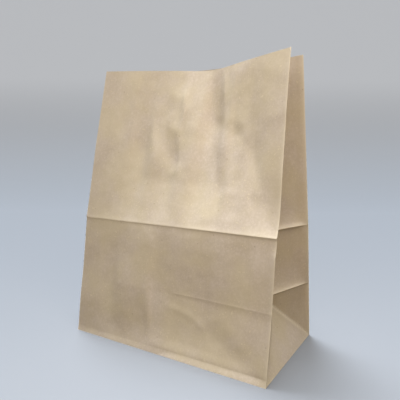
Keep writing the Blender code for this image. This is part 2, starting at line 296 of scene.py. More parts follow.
class Relief:
    """Low relief of the front or back panel, kept on a net of half millimetre cells.

    The paper takes the shape that comes nearest to the facets' leans while the foot, the
    waist and the mouth stay where they are. Waves, creases and rolls are added to it.
    """

    # Size of a cell in millimetres, and how much a column holds on to the ones beside it
    CELL = 0.5
    STIFFNESS = 0.006
    # Distances in millimetres over which the waves die out towards the upright edges, the foot,
    # and the waist and the mouth
    EDGE_FADE = 25
    FOOT_FADE = 20
    FOLD_FADE = 12
    # Distance over which the creases fade under the rim, and the share that they keep there
    RIM_FADE = 3
    RIM_SHARE = 0.35

    def __init__(self, bag: Bag, facets: tuple[Facet, ...], creases: tuple[Crease, ...],
                 rolls: tuple[Roll, ...], swells: tuple[Swell, ...]) -> None:
        """Works the net out.

        Args:
            bag: sizes of the sheet.
            facets: leaning patches.
            creases: lines pressed into the panel.
            rolls: pressed folds across the whole panel.
            swells: slow and fine waves.
        """
        width, top = bag.width / MM, bag.height / MM
        self.columns = int(round(width / self.CELL)) + 1
        self.rows = int(round(top / self.CELL)) + 1
        across, height = np.meshgrid(np.arange(self.columns) * self.CELL, np.arange(self.rows) * self.CELL)
        lean = sum((facet.leaning(across, height) for facet in facets), np.zeros(across.shape))
        waist_row = int(round(bag.waist / MM / self.CELL))
        net = np.zeros(across.shape)
        for low, high in ((0, waist_row), (waist_row, self.rows - 1)):
            net[low + 1:high] = self.settled(lean[low:high + 1])
        edge = np.minimum(across, width - across) / self.EDGE_FADE
        ends = np.minimum.reduce([height / self.FOOT_FADE, (top - height) / self.FOLD_FADE,
                                  np.abs(height - bag.waist / MM) / self.FOLD_FADE])
        waves = sum(swell.relief(across, height) for swell in swells)
        net += waves * smooth(edge) * smooth(ends)
        pressed = sum((crease.relief(across, height) for crease in creases), np.zeros(across.shape))
        net += pressed * smooth((top - height) / self.RIM_FADE + self.RIM_SHARE)
        net += sum((roll.relief(across, height, width) for roll in rolls), np.zeros(across.shape))
        self.net = net * MM

    @staticmethod
    def bends(count: int, held: bool) -> tuple[np.ndarray, np.ndarray]:
        """Shapes that a line of points takes, each with how much it bends.

        Args:
            count: number of points.
            held: whether points beyond both ends are held, or the ends are free.

        Returns:
            How much each shape bends, and the shapes as columns.
        """
        differences = 2 * np.eye(count) - np.eye(count, k=1) - np.eye(count, k=-1)
        if not held:
            differences[0, 0] = differences[-1, -1] = 1
        return np.linalg.eigh(differences)

    def settled(self, lean: np.ndarray) -> np.ndarray:
        """Relief nearest to the leans, in least squares, between two rows that stay in place.

        The stiffness keeps columns that want to stand apart together.

        Args:
            lean: leans in radians at all points, with the rows at both ends.

        Returns:
            Relief in millimetres of the rows between them.
        """
        middle = (lean[1:] + lean[:-1]) / 2
        up_bend, up_shapes = self.bends(len(middle) - 1, True)
        side_bend, side_shapes = self.bends(lean.shape[1], False)
        pull = up_shapes.T @ np.diff(middle, axis=0) @ side_shapes
        shares = pull / (up_bend[:, None] + self.STIFFNESS * side_bend)
        return up_shapes @ shares @ side_shapes.T * self.CELL

    def at(self, across: np.ndarray, height: np.ndarray) -> np.ndarray:
        """Relief between the net's points, weighted by the distance to each.

        Args:
            across: distances from the left edge, in metres.
            height: paper heights, in metres.

        Returns:
            Relief in metres, positive outwards.
        """
        x = np.clip(across / MM / self.CELL, 0, self.columns - 1.001)
        y = np.clip(height / MM / self.CELL, 0, self.rows - 1.001)
        column, row = x.astype(int), y.astype(int)
        x, y = x - column, y - row
        low = self.net[row, column] * (1 - x) + self.net[row, column + 1] * x
        high = self.net[row + 1, column] * (1 - x) + self.net[row + 1, column + 1] * x
        return low * (1 - y) + high * y


class FoldedSheet:
    """The folded sheet as surfaces: front, back and two pleated sides.

    Paper bends and doesn't stretch, so each line follows from the lengths between the folds
    round it.
    """

    # Steps along which the front's top edge is drawn
    MOUTH_STEPS = 420
    # How far a side's front half, bottom triangle and back half follow the cave-in. The front
    # half stands out instead, by half as much.
    BULGE_SHARES = (-0.5, 1.0, 1.0)
    # Share of a part's width over which it sets in beside a fold, and the narrower one of the
    # two halves beside the bottom triangle
    SOFT_EDGE = 0.2
    CRISP_EDGE = 0.08
    # Depth of the cave-in in millimetres, and the distance from a pressed line over which it is
    # reached: soft over the waist, between waist and apex, and under the apex ...
    OVER_WAIST = (3.6, 7.0)
    BETWEEN = (3.8, 5.0)
    BETWEEN_FROM_APEX = 7.0
    UNDER_APEX = (3.0, 12.0)
    # ... and crisp right beside the lines
    OVER_WAIST_CRISP = (1.1, 3.0)
    UNDER_WAIST_CRISP = (1.4, 1.5)
    BETWEEN_CRISP = (0.6, 2.5)
    UNDER_APEX_CRISP = (1.3, 1.5)
    # Distances in millimetres over which it fades, up to the mouth, below the waist and at the foot
    MOUTH_FADE = 110
    CRISP_FADE = 12
    FOOT_FADE = 8
    # Depth of the bottom triangle, and over what distances from the foot and from its apex
    TRIANGLE_DEPTH = 1.5
    TRIANGLE_FOOT = 40
    TRIANGLE_APEX = 14

    def __init__(self, bag: Bag, front: Relief, back: Relief) -> None:
        """Keeps the sizes and the relief of both panels.

        Args:
            bag: sizes of the sheet.
            front: relief of the front.
            back: relief of the back.
        """
        self.bag = bag
        self.front_relief = front
        self.back_relief = back

    @staticmethod
    def chord(length: float, bow: float) -> float:
        """Straight distance between the ends of a strip that bows in a shallow arc."""
        return length - 8 * bow**2 / (3 * length)

    @staticmethod
    def lifted(below: np.ndarray, x: np.ndarray, y: np.ndarray, length: float) -> np.ndarray:
        """Points at x and y that straight paper reaches from the points below.

        Args:
            below: lower ends, shape (..., 3).
            x: places of the upper ends along X.
            y: places of the upper ends along Y.
            length: length of paper between the ends.

        Returns:
            Upper ends, shape (..., 3).
        """
        run = (x - below[..., 0])**2 + (y - below[..., 1])**2
        z = below[..., 2] + np.sqrt(np.maximum(length**2 - run, 0))
        return np.stack([x, y, z], axis=-1)

    def foot_line(self, across: np.ndarray, y: float) -> np.ndarray:
        """Straight bottom edge of a panel."""
        x = across - self.bag.width / 2
        return np.stack([x, np.full_like(across, y), np.zeros_like(across)], axis=-1)

    def waist_line(self, across: np.ndarray, foot_y: float, lean: float, bow: float) -> np.ndarray:
        """Waist edge of the front or back, leaning in from its foot and bowed in the middle.

        Args:
            across: distances from the left edge.
            foot_y: place of the panel's foot along Y.
            lean: how far the edge stands in from the foot.
            bow: how far its middle bows towards the back.

        Returns:
            Points of the edge, shape (..., 3).
        """
        share = across / self.bag.width
        x = (share - 0.5) * self.chord(self.bag.width, bow)
        y = foot_y - np.sign(foot_y) * lean + 4 * bow * share * (1 - share)
        return self.lifted(self.foot_line(across, foot_y), x, y, self.bag.waist)

    def front_waist(self, across: np.ndarray) -> np.ndarray:
        """Waist edge of the front."""
        return self.waist_line(across, -self.bag.half_depth, self.bag.front_lean, self.bag.front_bow)

    def back_waist(self, across: np.ndarray) -> np.ndarray:
        """Waist edge of the back."""
        return self.waist_line(across, self.bag.half_depth, self.bag.back_lean, self.bag.back_bow)

    def back_mouth(self, across: np.ndarray) -> np.ndarray:
        """Top edge of the back, bowed out."""
        bag = self.bag
        share = across / bag.width
        x = bag.mouth_back_shift + (share - 0.5) * self.chord(bag.width, bag.mouth_back_bow)
        y = bag.mouth_back + 4 * bag.mouth_back_bow * share * (1 - share)
        return self.lifted(self.back_waist(across), x, y, bag.height - bag.waist)

    def front_mouth(self, across: np.ndarray) -> np.ndarray:
        """Top edge of the front: two nearly straight halves that meet in a rounded bend.

        The edge is drawn by its direction, which turns evenly over the rounding, so that its
        length is the paper's own.
        """
        bag = self.bag
        bend = bag.width / 2 + bag.bend_offset
        corner_y = bag.mouth_back - bag.mouth_depth
        left_turn = np.arcsin(bag.bend_dent / bend)
        right_turn = -np.arcsin(bag.bend_dent / (bag.width - bend))
        fine = np.linspace(0, bag.width, self.MOUTH_STEPS + 1)
        share = np.clip((fine - bend) / bag.bend_rounding + 0.5, 0, 1)
        turn = left_turn + (right_turn - left_turn) * share
        middle = (turn[1:] + turn[:-1]) / 2
        step = fine[1] - fine[0]
        x = np.concatenate([[0], np.cumsum(np.cos(middle))]) * step
        y = np.concatenate([[0], np.cumsum(np.sin(middle))]) * step + corner_y
        x = x - (x[0] + x[-1]) / 2 + bag.mouth_front_shift
        x, y = np.interp(across, fine, x), np.interp(across, fine, y)
        return self.lifted(self.front_waist(across), x, y, bag.height - bag.waist)

    def ruled(self, across: np.ndarray, height: np.ndarray, foot_y: float, waist_points: np.ndarray,
              mouth_points: np.ndarray) -> tuple[np.ndarray, np.ndarray]:
        """Straight paper from foot to waist and from waist to mouth.

        Args:
            across: distances from the left edge.
            height: paper heights.
            foot_y: place of the foot along Y.
            waist_points: points of the waist edge at the same distances.
            mouth_points: points of the top edge at the same distances.

        Returns:
            Points, and the directions in which the paper runs up, both of shape (..., 3).
        """
        bag = self.bag
        low = np.clip(height / bag.waist, 0, 1)[..., None]
        high = np.clip((height - bag.waist) / (bag.height - bag.waist), 0, 1)[..., None]
        foot_points = self.foot_line(across, foot_y)
        lower_run, upper_run = waist_points - foot_points, mouth_points - waist_points
        points = foot_points + low * lower_run + high * upper_run
        return points, unit(np.where((height > bag.waist)[..., None], upper_run, lower_run))

    def waist_shift(self, height: np.ndarray) -> np.ndarray:
        """How far the sharp waist fold pushes the whole ring of paper towards the front."""
        bag = self.bag
        above = np.exp(-np.maximum(height - bag.waist, 0) / bag.waist_set_above)
        below = np.exp(-np.maximum(bag.waist - height, 0) / bag.waist_set_below)
        return bag.waist_set * above * below

    def front(self, across: np.ndarray, height: np.ndarray) -> np.ndarray:
        """Points of the front by paper coordinates, with its relief along -Y.

        Args:
            across: distances from the left edge.
            height: paper heights.

        Returns:
            Points, shape (..., 3).
        """
        across, height = np.broadcast_arrays(across, height)
        points, up = self.ruled(across, height, -self.bag.half_depth, self.front_waist(across),
                                self.front_mouth(across))
        outwards = unit(np.cross(np.array([1.0, 0, 0]), up))
        return points + outwards * self.front_relief.at(across, height)[..., None]

    def back(self, across: np.ndarray, height: np.ndarray) -> np.ndarray:
        """Points of the back by paper coordinates, with its relief and its pasted lap.

        Args:
            across: distances from the left edge as seen from the front.
            height: paper heights.

        Returns:
            Points, shape (..., 3).
        """
        bag = self.bag
        across, height = np.broadcast_arrays(across, height)
        points, up = self.ruled(across, height, bag.half_depth, self.back_waist(across),
                                self.back_mouth(across))
        outwards = unit(np.cross(np.array([-1.0, 0, 0]), up))
        lap_end = bag.width / 2 + bag.lap_offset
        off_lap = np.maximum(across - lap_end, lap_end - bag.lap_width - across)
        lap = bag.thickness * np.clip(1 - off_lap / bag.lap_edge, 0, 1)
        return points + outwards * (self.back_relief.at(across, height) + lap)[..., None]

    @staticmethod
    def meeting_point(centres: list[np.ndarray], reaches: list[float], towards: np.ndarray) -> np.ndarray:
        """Point at three given distances from three centres.

        It lies where three spheres meet, on the side of their plane that 'towards' points to.

        Args:
            centres: the three centres.
            reaches: the three distances.
            towards: rough direction from the plane to the point.

        Returns:
            The point.
        """
        first, second, third = centres
        span = np.linalg.norm(second - first)
        along = (second - first) / span
        step = np.dot(along, third - first)
        across = third - first - step * along
        offset = np.linalg.norm(across)
        across = across / offset
        normal = np.cross(along, across)
        if np.dot(normal, towards) < 0:
            normal = -normal
        a = (reaches[0]**2 - reaches[1]**2 + span**2) / (2 * span)
        b = (reaches[0]**2 - reaches[2]**2 + step**2 + offset**2) / (2 * offset) - a * step / offset
        c = np.sqrt(max(reaches[0]**2 - a**2 - b**2, 0))
        return first + a * along + b * across + c * normal

    def plain_edge(self, side: Side, front: bool, height: float) -> np.ndarray:
        """Upright edge of a side without relief, from which the pleat's middle is worked out."""
        across = np.array(self.bag.width if side is Side.RIGHT else 0.0)
        level = np.array(height)
        if front:
            foot_y, waist, mouth = -self.bag.half_depth, self.front_waist(across), self.front_mouth(across)
        else:
            foot_y, waist, mouth = self.bag.half_depth, self.back_waist(across), self.back_mouth(across)
        return self.ruled(across, level, foot_y, waist, mouth)[0]

    def pleat_spine(self, side: Side) -> list[np.ndarray]:
        """Points of a side's middle fold: over the bottom triangle, at the waist, at the mouth.

        Each is half the bag's depth of paper from both upright edges, and the paper's height
        above the one below.

        Args:
            side: the side.

        Returns:
            The three points.
        """
        bag = self.bag
        half = bag.half_depth
        inward = np.array([-side.value, 0.0, 0.0])
        corners = [self.plain_edge(side, True, 0.0), self.plain_edge(side, False, 0.0),
                   self.plain_edge(side, False, half)]
        apex = self.meeting_point(corners, [half * np.sqrt(2), half * np.sqrt(2), half], inward)
        edges = [self.plain_edge(side, True, bag.waist), self.plain_edge(side, False, bag.waist), apex]
        waist = self.meeting_point(edges, [half, half, bag.waist - half], inward)
        edges = [self.plain_edge(side, True, bag.height), self.plain_edge(side, False, bag.height), waist]
        mouth = self.meeting_point(edges, [half, half, bag.height - bag.waist], inward)
        return [apex, waist, mouth]

    def pleat(self, side: Side, across: np.ndarray, height: np.ndarray) -> np.ndarray:
        """Points of a side by distance from its front edge and paper height.

        A row runs straight between folds: front edge, middle fold and back edge, and below
        the bottom triangle's apex the two folds that climb at 45 degrees from its corners.
        Between folds the paper leaves these lines by its bulge.

        Args:
            side: the side.
            across: distances from the side's front edge.
            height: paper heights.

        Returns:
            Points, shape (..., 3).
        """
        bag = self.bag
        across, height = np.broadcast_arrays(across, height)
        edge = np.full(height.shape, bag.width if side is Side.RIGHT else 0.0)
        apex, waist, mouth = self.pleat_spine(side)
        low = np.clip((height - bag.half_depth) / (bag.waist - bag.half_depth), 0, 1)[..., None]
        high = np.clip((height - bag.waist) / (bag.height - bag.waist), 0, 1)[..., None]
        spine = apex + low * (waist - apex) + high * (mouth - waist)
        climb = np.clip(height / bag.half_depth, 0, 1)[..., None]
        front_foot, back_foot = self.plain_edge(side, True, 0.0), self.plain_edge(side, False, 0.0)
        below = (height < bag.half_depth)[..., None]
        front_fold = np.where(below, front_foot + climb * (apex - front_foot), spine)
        back_fold = np.where(below, back_foot + climb * (apex - back_foot), spine)
        lines = [self.front(edge, height), front_fold, back_fold, self.back(edge, height)]
        fold = np.minimum(height, bag.half_depth)
        places = [np.zeros_like(fold), fold, bag.depth - fold, np.full_like(fold, bag.depth)]
        points = lines[0].copy()
        for number in range(3):
            width = np.maximum(places[number + 1] - places[number], 1e-9)
            share = np.clip((across - places[number]) / width, 0, 1)[..., None]
            run = lines[number + 1] - lines[number]
            points += share * run
            outwards = unit(np.cross(run * side.value, np.array([0.0, 0, 1.0])) + 1e-12)
            edge = np.where(below & (number != 1), self.CRISP_EDGE, self.SOFT_EDGE)
            near = np.clip(np.minimum(share, 1 - share) / edge, 0, 1)
            bulge = self.BULGE_SHARES[number] * self.bulge(number, height)
            points += outwards * bulge[..., None] * np.where(below, near * (2 - near), smooth(near))
        return points

    def bulge(self, part: int, height: np.ndarray) -> np.ndarray:
        """How far a part of a side caves in at mid width.

        The pressed lines at the waist and at the bottom triangle's apex stay nearly straight,
        and the paper caves in between them.

        Args:
            part: 0 for the front half, 1 for the bottom triangle, 2 for the back half.
            height: paper heights.

        Returns:
            Bulge in metres, negative where the paper caves in.
        """
        bag = self.bag
        mm = height / MM
        waist, apex = bag.waist / MM, bag.half_depth / MM
        if part == 1:
            grown = smooth(mm / self.TRIANGLE_FOOT) * smooth((apex - mm) / self.TRIANGLE_APEX)
            return -self.TRIANGLE_DEPTH * MM * grown
        over_waist, under_waist = np.maximum(mm - waist, 0), np.maximum(waist - mm, 0)
        over_apex, under_apex = np.maximum(mm - apex, 0), np.maximum(apex - mm, 0)
        above = eased(over_waist, *self.OVER_WAIST) + ramped(over_waist, *self.OVER_WAIST_CRISP)
        above = above * np.exp(-over_waist / self.MOUTH_FADE)
        between = eased(under_waist, *self.BETWEEN) * eased(over_apex, 1, self.BETWEEN_FROM_APEX)
        crisp = ramped(under_waist, *self.UNDER_WAIST_CRISP) * np.exp(-under_waist / self.CRISP_FADE)
        depth, length = self.BETWEEN_CRISP
        between += (crisp + depth) * ramped(over_apex, 1, length)
        below = eased(under_apex, *self.UNDER_APEX) + ramped(under_apex, *self.UNDER_APEX_CRISP)
        below = below * ramped(mm, 1, apex)
        return -(above + between + below) * MM * smooth(mm / self.FOOT_FADE)


def stations(start: float, end: float, close: tuple[float, ...], size: float) -> np.ndarray:
    """Places from start to end: close ones at both ends, and even ones between them.

    Args:
        start: first place.
        end: last place.
        close: distances of the close places from either end.
        size: about how far apart the even places are.

    Returns:
        The places in order.
    """
    first, last = start + close[-1], end - close[-1]
    count = max(int(round((last - first) / size)), 1)
    even = np.linspace(first, last, count + 1)
    near = np.array(close[:-1])
    return np.concatenate([[start], start + near, even, (end - near)[::-1], [end]])


class SheetMesh:
    """The sheet's mesh: an outer and an inner skin, a pinked rim, and the pasted bottom."""

    # Distances in metres of the close columns and rows from a fold, from the waist, from the
    # foot's strip and from the rim
    NEAR_FOLD = (0.0003, 0.0008, 0.0016, 0.0030)
    OVER_WAIST = (0.0005, 0.0010, 0.0016, 0.0022, 0.0027, 0.0033, 0.0040, 0.0050)
    UNDER_WAIST = (0.0004, 0.0010, 0.0016, 0.0022, 0.0028, 0.0036, 0.0046)
    NEAR_STRIP = (-0.0004, 0.0, 0.0004)
    NEAR_RIM = (0.0012, 0.0024)
    # Sizes of the even cells: on the panels up to the waist, up over the waist, and on the
    # pleats and beside the bottom triangles
    CELL = 0.0024
    ROW = 0.0022
    PLEAT_CELL = 0.0020
    # Least distances between an even place and a close one, at a line and under the waist, and
    # from the top row to the rim
    LINE_GAP = 0.0006
    WAIST_GAP = 0.001
    RIM_GAP = 0.0016
    # Wear and painted highlight along the folds: how far they reach from a fold in millimetres, and
    # how little of them shows on the front's left edge, up to what distance from it
    WEAR_AND_HIGHLIGHT_REACH = 0.9
    LEFT_WEAR_AND_HIGHLIGHT = 0.35
    LEFT_REACH = 4
    # Angle in degrees over which an edge is shaded as sharp
    SHARP_ANGLE = 24

    def __init__(self, sheet: FoldedSheet) -> None:
        """Works the columns and rows out.

        Args:
            sheet: the folded sheet.
        """
        self.sheet = sheet
        bag = sheet.bag
        half = stations(0, bag.half_depth, self.NEAR_FOLD, self.PLEAT_CELL)
        strip = bag.foot_strip + np.array(self.NEAR_STRIP)
        half = half[np.abs(half - bag.foot_strip) > self.LINE_GAP]
        half = np.unique(np.round(np.concatenate([half, strip]), 7))
        self.pleat_places = np.concatenate([half, bag.depth - half[-2::-1]])
        self.front_places = stations(0, bag.width, self.NEAR_FOLD, self.CELL)
        lap_end = bag.width / 2 + bag.lap_offset
        lap = np.array([lap_end - bag.lap_width - bag.lap_edge, lap_end - bag.lap_width, lap_end,
                        lap_end + bag.lap_edge])
        back = self.front_places
        apart = np.min(np.abs(back[:, None] - lap), axis=1) > self.LINE_GAP
        self.back_places = np.sort(np.concatenate([back[apart], lap]))
        under = bag.waist - np.array(self.UNDER_WAIST[::-1])
        over = bag.waist + np.array(self.OVER_WAIST)
        lower = stations(bag.half_depth, under[0], self.NEAR_FOLD, self.CELL)[1:-1]
        lower = lower[lower < under[0] - self.WAIST_GAP]
        upper = stations(over[-1], bag.height - self.RIM_GAP, self.NEAR_RIM, self.ROW)[1:]
        self.rows = np.concatenate([half, lower, under, [bag.waist], over, upper])
        self.right_corner = len(self.front_places) - 1
        self.back_right = self.right_corner + len(self.pleat_places) - 1
        self.back_left = self.back_right + len(self.back_places) - 1
        self.columns = self.back_left + len(self.pleat_places) - 1

    def around(self) -> np.ndarray:
        """Distance of each column along the paper once round the bag, from the front's left edge."""
        bag = self.sheet.bag
        return np.concatenate([
            self.front_places[:-1],
            bag.width + self.pleat_places[:-1],
            2 * bag.width + bag.depth - self.back_places[::-1][:-1],
            bag.girth - self.pleat_places[::-1][:-1],
        ])

    def surface(self, around: np.ndarray, height: np.ndarray) -> np.ndarray:
        """Points of the sheet by distance round the bag and paper height.

        Args:
            around: distances from the front's left edge, to the right along the front.
            height: paper heights.

        Returns:
            Points, shape (..., 3).
        """
        bag, sheet = self.sheet.bag, self.sheet
        around, height = np.broadcast_arrays(around, height)
        right_end, back_end = bag.width + bag.depth, 2 * bag.width + bag.depth
        on_right = (around >= bag.width) & (around < right_end)
        on_back = (around >= right_end) & (around < back_end)
        points = np.zeros(around.shape + (3,))
        parts = (
            (around < bag.width, sheet.front, around),
            (on_right, partial(sheet.pleat, Side.RIGHT), around - bag.width),
            (on_back, sheet.back, back_end - around),
            (around >= back_end, partial(sheet.pleat, Side.LEFT), bag.girth - around),
        )
        for where, shape, across in parts:
            points[where] = shape(across[where], height[where])
        points[..., 1] -= sheet.waist_shift(height)
        return points

    @staticmethod
    def outward(rings: np.ndarray) -> np.ndarray:
        """Outward directions at the net's points.

        They are longer at folds, so that an offset wall keeps its thickness.

        Args:
            rings: points once round the bag, shape (rows, columns, 3).

        Returns:
            Directions of the same shape.
        """
        right = np.roll(rings, -1, axis=1)
        face = unit(np.cross(right[:-1] - rings[:-1], rings[1:] - rings[:-1]))
        rows = np.concatenate([face[:1], face, face[-1:]])
        before = np.roll(rows, 1, axis=1)
        four = np.stack([rows[1:], rows[:-1], before[1:], before[:-1]])
        direction = unit(four.sum(axis=0))
        spread = np.clip((four * direction).sum(axis=-1).min(axis=0), 0.5, 1)
        return direction / spread[..., None]

    @staticmethod
    def zipped(first: np.ndarray, second: np.ndarray, first_start: int, second_start: int) -> np.ndarray:
        """Triangles between two closed rings of points, each ordered along the same way round.

        Both rings' places are merged in order. Each next place makes one triangle with the
        place before it on its own ring and the last place on the other.

        Args:
            first: places of the lower ring, from 0.
            second: places of the upper ring, from 0.
            first_start: index of the lower ring's first point.
            second_start: index of the upper ring's first point.

        Returns:
            Corners, shape (triangles, 3).
        """
        place = np.concatenate([first[1:], second[1:]])
        lower = np.concatenate([np.ones(len(first) - 1, bool), np.zeros(len(second) - 1, bool)])
        order = np.lexsort((lower, place))
        lower = lower[order]
        a = np.cumsum(lower)
        b = np.cumsum(~lower)
        last = np.stack([first_start + a - 1, first_start + a, second_start + b], axis=1)
        other = np.stack([first_start + a, second_start + b, second_start + b - 1], axis=1)
        merged = np.where(lower[:, None], last, other)
        close = [[first_start + len(first) - 1, first_start, second_start + len(second) - 1],
                 [first_start, second_start, second_start + len(second) - 1]]
        return np.concatenate([merged, close])

    def underside(self, start: int) -> tuple[np.ndarray, list[tuple[int, ...]]]:
        """Pasted flaps under the bag, each one paper lower than the one it covers.

        The sides' ends lie innermost, the back's flap over them and the front's outermost.
        Both flaps narrow at 45 degrees from the bottom corners.

        Args:
            start: index that the first added point will have.

        Returns:
            Points and faces.
        """
        bag = self.sheet.bag
        flap_y = bag.flap_length - bag.half_depth
        flap_x = bag.width / 2 - bag.flap_length
        cross_x = bag.width / 2 - bag.half_depth
        levels = [0.0, bag.thickness, 2 * bag.thickness]
        points = [(x, 0.0, z) for x in (cross_x, -cross_x) for z in levels]
        points += [(x, flap_y, z) for x in (flap_x, -flap_x) for z in levels[:2]]
        right_low, right_middle, right_high, left_low, left_middle, left_high = range(start, start + 6)
        end_right_low, end_right_middle, end_left_low, end_left_middle = range(start + 6, start + 10)
        front = list(range(0, self.right_corner + 1))
        right = list(range(self.right_corner, self.back_right + 1))
        back = list(range(self.back_right, self.back_left + 1))
        left = list(range(self.back_left, self.columns)) + [0]
        faces = [tuple(reversed(front + [right_low, end_right_low, end_left_low, left_low]))]
        faces.append(tuple(reversed([right_high] + right)))
        faces.append(tuple(reversed([left_high] + left)))
        back_flap = [end_right_middle, right_middle] + back + [left_middle, end_left_middle]
        faces.append(tuple(reversed(back_flap)))
        faces.append(tuple(reversed([right_middle, right_high, right[0], right_low])))
        faces.append(tuple(reversed([left_middle, left_low, left[-1], left_high])))
        faces.append((right_middle, right_high, right[-1]))
        faces.append((left_middle, left[0], left_high))
        faces.append((right_low, end_right_low, end_right_middle, right_middle))
        faces.append((end_right_low, end_left_low, end_left_middle, end_right_middle))
        faces.append((end_left_low, left_low, left_middle, end_left_middle))
        return np.array(points), faces

    def wear_and_highlight(self, around: np.ndarray, height: np.ndarray) -> np.ndarray:
        """How worn the paper is, with a painted highlight along the fold edges: 1 on a pressed fold and next
        to 0 a few millimetres away.

        Args:
            around: distances round the bag.
            height: paper heights.

        Returns:
            Wear from 0 to 1.
        """
        bag = self.sheet.bag
        right_end, back_end = bag.width + bag.depth, 2 * bag.width + bag.depth
        corners = np.array([0, bag.width, right_end, back_end, bag.girth])
        upright = np.min(np.abs(around[..., None] - corners), axis=-1)
        on_left = around > back_end
        on_side = ((around > bag.width) & (around < right_end)) | on_left
        level = np.abs(height - bag.waist)
        low = np.where(on_side, np.abs(height - bag.half_depth), 1.0)
        place = np.where(on_left, bag.girth - around, around - bag.width)
        corner = np.minimum(np.abs(place - height), np.abs(bag.depth - place - height)) * np.sqrt(0.5)
        corner = np.where(on_side & (height < bag.half_depth), corner, 1.0)
        # paler along every fold: partly wear, partly a painted highlight on the fold edges
        wear_and_highlight = np.exp(-np.minimum.reduce([upright, level, low, corner]) / (self.WEAR_AND_HIGHLIGHT_REACH * MM))
        at_left = np.minimum(around, bag.girth - around) < self.LEFT_REACH * MM
        return np.where(at_left, self.LEFT_WEAR_AND_HIGHLIGHT, 1.0) * wear_and_highlight

    def build(self, name: str) -> bpy.types.Object:
        """Makes the whole sheet as one closed mesh with its paper map and its wear, which also carries a
        painted highlight along the folds.

        Args:
            name: name of the object.

        Returns:
            The object, linked to the scene.
        """
        bag = self.sheet.bag
        around = self.around()
        heights = self.rows
        columns, rows = self.columns, len(heights)
        rings = self.surface(around[None, :], heights[:, None])
        directions = self.outward(rings)
        outer = rings.copy()
        inner = rings - directions * bag.thickness
        outer[0, :, 2] = 0.0
        outer[0, self.right_corner + 1:self.back_right, 2] = 2 * bag.thickness
        outer[0, self.back_left + 1:, 2] = 2 * bag.thickness
        outer[0, self.back_right:self.back_left + 1, 2] = bag.thickness
        inner[0, :, 2] = 3 * bag.thickness

        teeth = int(round(bag.girth / bag.tooth_pitch)) * 2
        rim_around = np.arange(teeth) * bag.girth / teeth
        rim_height = bag.height - bag.tooth_depth * (np.arange(teeth) % 2 == 0)
        rim_outer = self.surface(rim_around, rim_height)
        closed = np.concatenate([around, [bag.girth]])
        top = np.concatenate([directions[-1], directions[-1][:1]])
        rim_way = np.stack([np.interp(rim_around, closed, top[:, axis]) for axis in range(3)], axis=-1)
        rim_inner = rim_outer - rim_way * bag.thickness

        grid = rows * columns
        skin = grid + teeth
        flap_points, flap_faces = self.underside(2 * skin)
        middle = 2 * skin + len(flap_points)
        points = np.concatenate([outer.reshape(-1, 3), rim_outer, inner.reshape(-1, 3), rim_inner,
                                 flap_points, [(0.0, 0.0, 3 * bag.thickness)]])

        row, column = np.meshgrid(np.arange(rows - 1), np.arange(columns), indexing="ij")
        following = (column + 1) % columns
        a, b = row * columns + column, row * columns + following
        quads = np.stack([a, b, b + columns, a + columns], axis=-1).reshape(-1, 4)
        collar = self.zipped(around, rim_around, grid - columns, grid)
        rim = grid + np.arange(teeth)
        rim_next = grid + (np.arange(teeth) + 1) % teeth
        edge = np.stack([rim, rim_next, rim_next + skin, rim + skin], axis=1)
        ring = skin + np.arange(columns)
        floor = np.stack([np.full(columns, middle), ring, skin + (np.arange(columns) + 1) % columns], axis=1)

        faces = quads.tolist() + collar.tolist()
        faces += (quads[:, ::-1] + skin).tolist() + (collar[:, ::-1] + skin).tolist()
        faces += edge.tolist() + floor.tolist() + [list(face) for face in flap_faces]
        mesh = bpy.data.meshes.new(name)
        mesh.from_pydata(points.tolist(), [], faces)

        all_around = np.concatenate([np.broadcast_to(around, (rows, columns)).ravel(), rim_around])
        all_height = np.concatenate([np.broadcast_to(heights[:, None], (rows, columns)).ravel(), rim_height])
        rest = len(points) - 2 * skin
        self.write_maps(mesh, np.concatenate([all_around, all_around, np.zeros(rest)]),
                        np.concatenate([all_height, all_height, np.zeros(rest)]), 2 * skin)
        mesh.shade_smooth()
        mesh.set_sharp_from_angle(angle=np.radians(self.SHARP_ANGLE))
        piece = bpy.data.objects.new(name, mesh)
        bpy.context.scene.collection.objects.link(piece)
        return piece

    def write_maps(self, mesh: bpy.types.Mesh, around: np.ndarray, height: np.ndarray, walls: int) -> None:
        """Writes the paper map in metres, and the wear with its painted highlight along the folds.

        The face corners that close the ring get the full girth instead of 0. The bottom is
        mapped straight down.

        Args:
            mesh: the sheet's mesh.
            around: distance round the bag for each point.
            height: paper height for each point.
            walls: number of points that belong to the walls.
        """
        girth = self.sheet.bag.girth
        corners = np.empty(len(mesh.loops), dtype=np.int32)
        mesh.loops.foreach_get("vertex_index", corners)
        starts = np.empty(len(mesh.polygons), dtype=np.int32)
        totals = np.empty(len(mesh.polygons), dtype=np.int32)
        mesh.polygons.foreach_get("loop_start", starts)
        mesh.polygons.foreach_get("loop_total", totals)
        face = np.repeat(np.arange(len(starts)), totals)
        u, v = around[corners], height[corners]
        far = np.maximum.reduceat(u, starts)[face]
        u = np.where((far > 0.75 * girth) & (u < 0.25 * girth), u + girth, u)
        places = np.empty(len(mesh.vertices) * 3)
        mesh.vertices.foreach_get("co", places)
        places = places.reshape(-1, 3)[corners]
        is_bottom = (corners >= walls) | ((v == 0) & (np.maximum.reduceat(v, starts)[face] == 0))
        u = np.where(is_bottom, places[:, 0], u)
        v = np.where(is_bottom, places[:, 1] - girth, v)
        layer = mesh.uv_layers.new(name="paper")
        layer.data.foreach_set("uv", np.stack([u, v], axis=1).ravel())
        # wear along the folds, which also serves as a painted highlight on them
        wear_and_highlight = self.wear_and_highlight(around, height)
        wear_and_highlight[walls:] = 0
        mesh.attributes.new("wear_and_highlight", "FLOAT", "POINT").data.foreach_set("value", wear_and_highlight)


# Kinds of node that come up again and again, and their settings
RANGE = "ShaderNodeMapRange"
MATH = "ShaderNodeMath"
SUM = {"operation": "ADD"}
PRODUCT = {"operation": "MULTIPLY"}
LARGER = {"operation": "MAXIMUM"}
MIX = "ShaderNodeMix"
COLOURS = {"data_type": "RGBA"}


